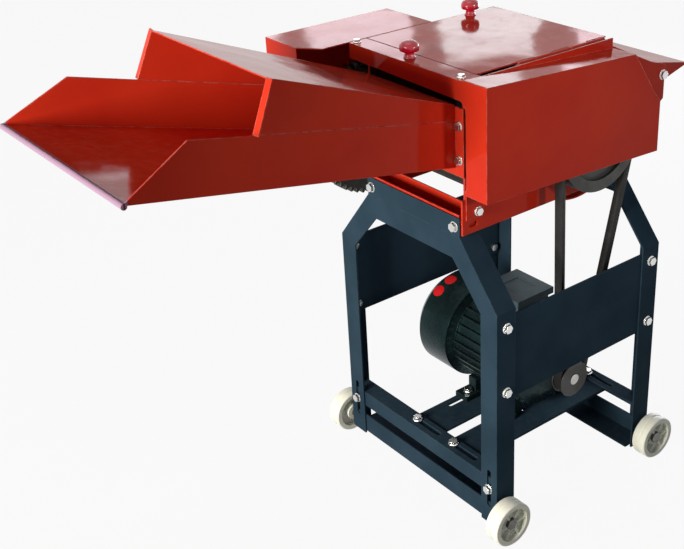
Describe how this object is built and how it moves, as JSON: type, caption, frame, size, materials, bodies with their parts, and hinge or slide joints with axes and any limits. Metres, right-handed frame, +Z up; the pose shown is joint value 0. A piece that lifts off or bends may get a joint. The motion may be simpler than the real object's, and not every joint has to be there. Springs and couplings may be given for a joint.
{
  "type": "electric chaff cutter",
  "caption": "Wheeled electric chaff cutter: a flared feed tray and hood lead to spring-loaded feed rollers and a belt-driven blade rotor under sheet-metal guards, on a leg frame with a motor below",
  "frame": {"origin": "the middle of the part's box on the floor that the wheels stand on", "axes": "+X is the way the fodder travels, from the tray's lip to the discharge; -Y is the belt side, +Y the gear side; +Z is up"},
  "size_m": [1.046, 0.499, 0.83],
  "materials": {
    "frame_paint": "dark blue-grey enamel, slightly glossy",
    "red_paint": "orange-red gloss enamel on sheet steel",
    "zinc_bolts": "bright zinc plating",
    "bare_steel": "turned or ground steel",
    "cast_iron": "dark cast iron",
    "wheel_nylon": "off-white moulded nylon",
    "knob_plastic": "glossy crimson plastic",
    "motor_paint": "dark green-black enamel",
    "box_paint": "dark grey-blue enamel",
    "fan_plastic": "black moulded plastic",
    "bush_bronze": "machined bronze",
    "belt_rubber": "black fabric-wrapped rubber"
  },
  "bodies": {
    "root": {"front_leg_frame": "frame_paint", "rear_leg_frame": "frame_paint", "lower_bars": "frame_paint", "top_angles": "frame_paint", "side_plates": "frame_paint", "frame_bolts": "zinc_bolts", "wheel_axles": "zinc_bolts", "near_base_rail": "red_paint", "far_base_rail": "red_paint", "base_cross_members": "red_paint", "housing_near_wall": "red_paint", "housing_far_wall": "red_paint", "throat_plate": "red_paint", "rotor_shell": "red_paint", "ledger_blade": "bare_steel", "feed_tray": "red_paint", "tray_hood": "red_paint", "cover_bolts": "zinc_bolts", "belt_guard": "red_paint", "gear_guard": "red_paint", "lid_hinge_leaf": "red_paint", "lid_hinge_pin": "bare_steel", "main_bearings": "cast_iron", "idler_stud": "bare_steel", "roller_bushes": "bush_bronze", "pressure_springs": "bare_steel", "spring_caps": "cast_iron", "drive_belt": "belt_rubber"},
    "lid": {"lid": "red_paint"},
    "knob_front": {"lid_knob_front": "knob_plastic"},
    "knob_rear": {"lid_knob_rear": "knob_plastic"},
    "deflector": {"discharge_deflector": "red_paint"},
    "rotor": {"main_shaft": "bare_steel", "rotor_discs": "cast_iron", "cutter_blades": "bare_steel", "blade_bolts": "zinc_bolts", "driven_pulley": "cast_iron", "main_pinion": "cast_iron"},
    "idler": {"idler_gear": "cast_iron"},
    "feed_roller_low": {"lower_roller": "cast_iron", "roller_gear": "cast_iron", "lower_link_gear": "cast_iron"},
    "roller_lift": {"bearing_blocks": "cast_iron"},
    "feed_roller_high": {"upper_roller": "cast_iron", "upper_link_gear": "cast_iron"},
    "motor_carriage": {"motor_bars": "frame_paint", "motor_rails": "frame_paint", "motor_body": "motor_paint", "motor_shields": "motor_paint", "fan_cowl": "motor_paint", "terminal_box": "box_paint", "motor_bolts": "zinc_bolts"},
    "motor_rotor": {"motor_shaft": "bare_steel", "motor_fan": "fan_plastic", "motor_pulley": "cast_iron"},
    "front_near_wheel": {"wheel_front_near": "wheel_nylon"},
    "front_far_wheel": {"wheel_front_far": "wheel_nylon"},
    "rear_near_wheel": {"wheel_rear_near": "wheel_nylon"},
    "rear_far_wheel": {"wheel_rear_far": "wheel_nylon"}
  },
  "joints": [
    {"name": "lid_swing", "type": "hinge", "parent": "root", "child": "lid", "pos_m": [0.226, -0.125, 0.739], "axis": [1, 0, 0], "range_deg": [0, 110]},
    {"name": "knob_front_turn", "type": "hinge", "parent": "root", "child": "knob_front", "pos_m": [0.037, 0.0025, 0.744], "axis": [0, 0, 1], "continuous": true},
    {"name": "knob_rear_turn", "type": "hinge", "parent": "lid", "child": "knob_rear", "pos_m": [0.259, 0.1165, 0.744], "axis": [0, 0, 1], "continuous": true},
    {"name": "deflector_tilt", "type": "hinge", "parent": "root", "child": "deflector", "pos_m": [0.453, -0.0245, 0.656], "axis": [0, 1, 0], "range_deg": [-10, 40]},
    {"name": "rotor_spin", "type": "hinge", "parent": "root", "child": "rotor", "pos_m": [0.2645, -0.0245, 0.607], "axis": [0, 1, 0], "continuous": true},
    {"name": "idler_spin", "type": "hinge", "parent": "root", "child": "idler", "pos_m": [0.20678, 0.14, 0.64295], "axis": [0, 1, 0], "continuous": true},
    {"name": "lower_roller_spin", "type": "hinge", "parent": "root", "child": "feed_roller_low", "pos_m": [0.082, -0.0245, 0.584], "axis": [0, 1, 0], "continuous": true},
    {"name": "upper_roller_lift", "type": "slide", "parent": "root", "child": "roller_lift", "axis": [0, 0, 1], "range_m": [0, 0.008], "stiffness_N_per_m": 8000, "springref_m": -0.012, "deforming": ["pressure_springs"]},
    {"name": "upper_roller_spin", "type": "hinge", "parent": "roller_lift", "child": "feed_roller_high", "pos_m": [0.082, -0.0245, 0.662], "axis": [0, 1, 0], "continuous": true},
    {"name": "motor_height", "type": "slide", "parent": "root", "child": "motor_carriage", "axis": [0, 0, 1], "range_m": [-0.019, 0.03], "deforming": ["drive_belt"]},
    {"name": "motor_spin", "type": "hinge", "parent": "motor_carriage", "child": "motor_rotor", "pos_m": [0.22, -0.0245, 0.19], "axis": [0, 1, 0], "continuous": true},
    {"name": "front_near_wheel_roll", "type": "hinge", "parent": "root", "child": "front_near_wheel", "pos_m": [0.017, -0.2355, 0.0375], "axis": [0, 1, 0], "continuous": true},
    {"name": "front_far_wheel_roll", "type": "hinge", "parent": "root", "child": "front_far_wheel", "pos_m": [0.017, 0.1865, 0.0375], "axis": [0, 1, 0], "continuous": true},
    {"name": "rear_near_wheel_roll", "type": "hinge", "parent": "root", "child": "rear_near_wheel", "pos_m": [0.365, -0.2355, 0.0375], "axis": [0, 1, 0], "continuous": true},
    {"name": "rear_far_wheel_roll", "type": "hinge", "parent": "root", "child": "rear_far_wheel", "pos_m": [0.365, 0.1865, 0.0375], "axis": [0, 1, 0], "continuous": true}
  ],
  "couplings": [
    {"joint": "idler_spin", "follows": "rotor_spin", "ratio": -0.54545},
    {"joint": "lower_roller_spin", "follows": "rotor_spin", "ratio": 0.11483},
    {"joint": "upper_roller_spin", "follows": "rotor_spin", "ratio": -0.11483},
    {"joint": "motor_spin", "follows": "rotor_spin", "ratio": 3.2857}
  ]
}
